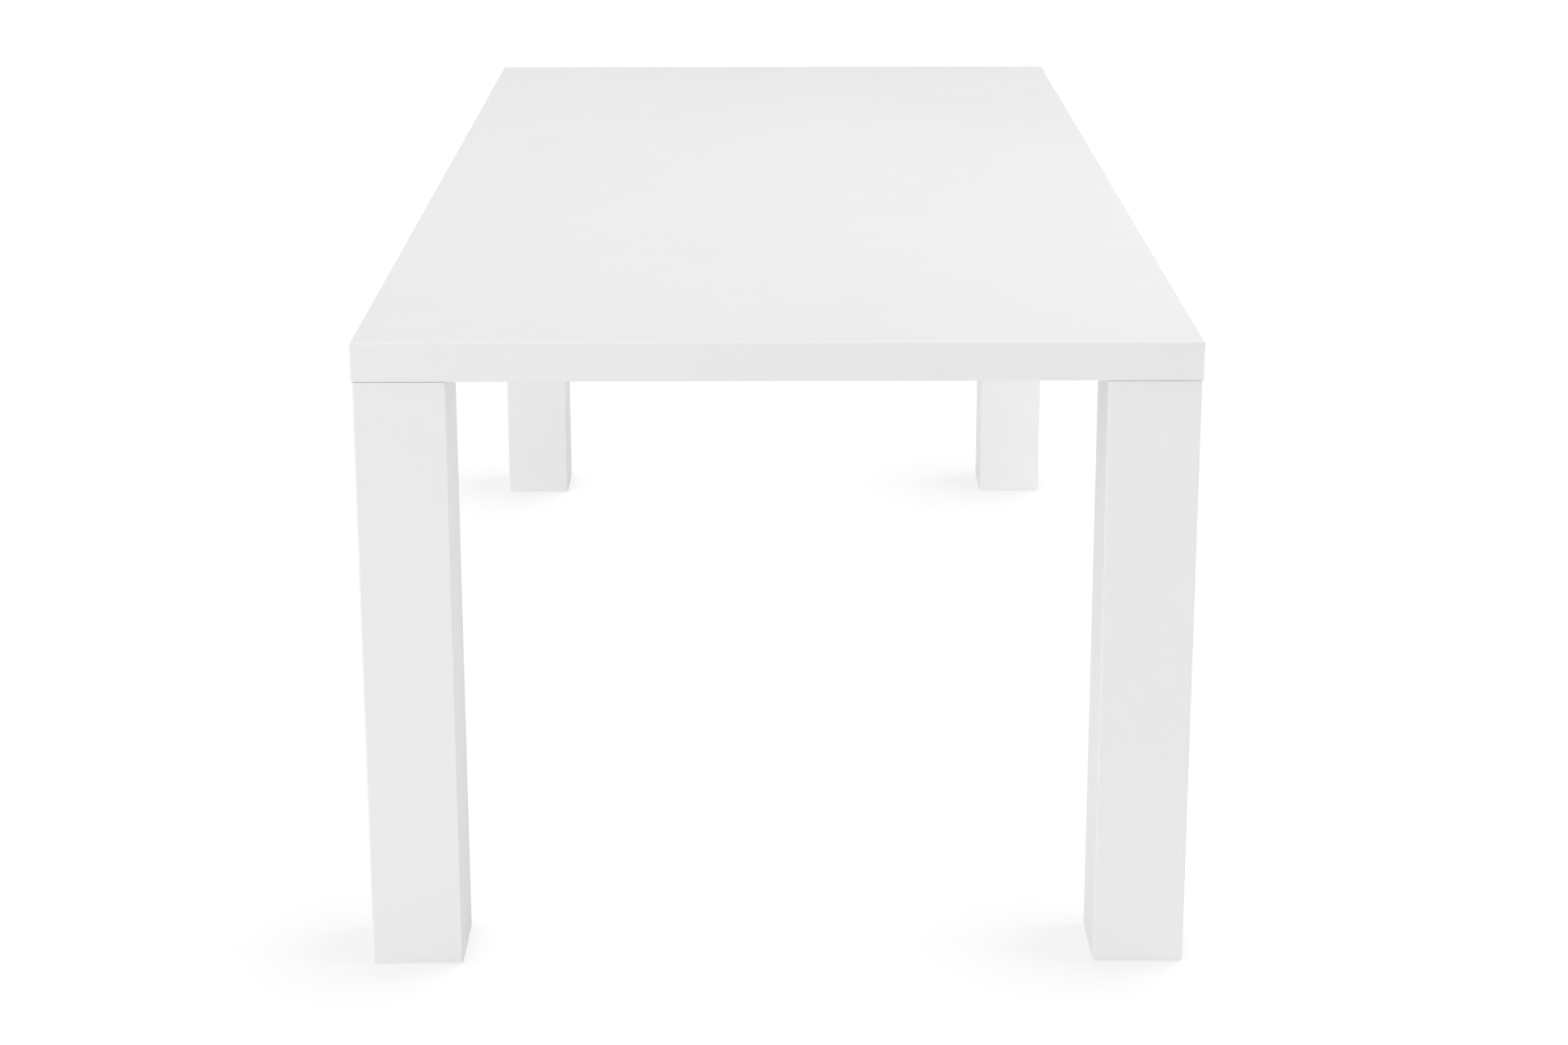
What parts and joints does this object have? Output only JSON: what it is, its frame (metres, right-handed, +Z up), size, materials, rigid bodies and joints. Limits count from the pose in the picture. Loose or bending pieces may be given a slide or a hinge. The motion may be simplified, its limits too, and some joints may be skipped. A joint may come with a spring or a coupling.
{
  "type": "dining table",
  "caption": "White lacquered dining table with a thick flat rectangular top on square corner legs that stand flush with its edges.",
  "frame": {"origin": "on the floor, under the middle of the top", "axes": "+X across the table's width, +Y along its length, away from the near end in the picture, +Z up"},
  "size_m": [0.95, 2, 0.75],
  "materials": {
    "white_lacquer": "satin white lacquer on fine board, sprayed",
    "underside_white": "matt white primer on board",
    "core_board": "raw fibreboard with sawn edges",
    "block_wood": "raw planed softwood",
    "zinc_plate": "zinc-plated sheet steel",
    "zinc_fastener": "bright zinc plate",
    "glide_plastic": "matt white plastic, slightly worn"
  },
  "bodies": {
    "root": {"captive_nuts": "zinc_fastener", "cross_rib_1": "core_board", "cross_rib_2": "core_board", "cross_rib_3": "core_board", "cross_rib_4": "core_board", "cross_rib_5": "core_board", "front_edge_rail": "white_lacquer", "front_left_corner_block": "block_wood", "front_left_foot_block": "block_wood", "front_left_glide": "glide_plastic", "front_left_leg_front_board": "white_lacquer", "front_left_leg_left_board": "white_lacquer", "front_left_leg_plate": "zinc_plate", "front_left_leg_rear_board": "white_lacquer", "front_left_leg_right_board": "white_lacquer", "front_left_leg_spigot": "zinc_plate", "front_right_corner_block": "block_wood", "front_right_foot_block": "block_wood", "front_right_glide": "glide_plastic", "front_right_leg_front_board": "white_lacquer", "front_right_leg_left_board": "white_lacquer", "front_right_leg_plate": "zinc_plate", "front_right_leg_rear_board": "white_lacquer", "front_right_leg_right_board": "white_lacquer", "front_right_leg_spigot": "zinc_plate", "left_edge_rail": "white_lacquer", "leg_bolts": "zinc_fastener", "lower_skin": "underside_white", "rear_edge_rail": "white_lacquer", "rear_left_corner_block": "block_wood", "rear_left_foot_block": "block_wood", "rear_left_glide": "glide_plastic", "rear_left_leg_front_board": "white_lacquer", "rear_left_leg_left_board": "white_lacquer", "rear_left_leg_plate": "zinc_plate", "rear_left_leg_rear_board": "white_lacquer", "rear_left_leg_right_board": "white_lacquer", "rear_left_leg_spigot": "zinc_plate", "rear_right_corner_block": "block_wood", "rear_right_foot_block": "block_wood", "rear_right_glide": "glide_plastic", "rear_right_leg_front_board": "white_lacquer", "rear_right_leg_left_board": "white_lacquer", "rear_right_leg_plate": "zinc_plate", "rear_right_leg_rear_board": "white_lacquer", "rear_right_leg_right_board": "white_lacquer", "rear_right_leg_spigot": "zinc_plate", "right_edge_rail": "white_lacquer", "stringer_1": "core_board", "stringer_2": "core_board", "upper_skin": "white_lacquer"}
  },
  "joints": []
}
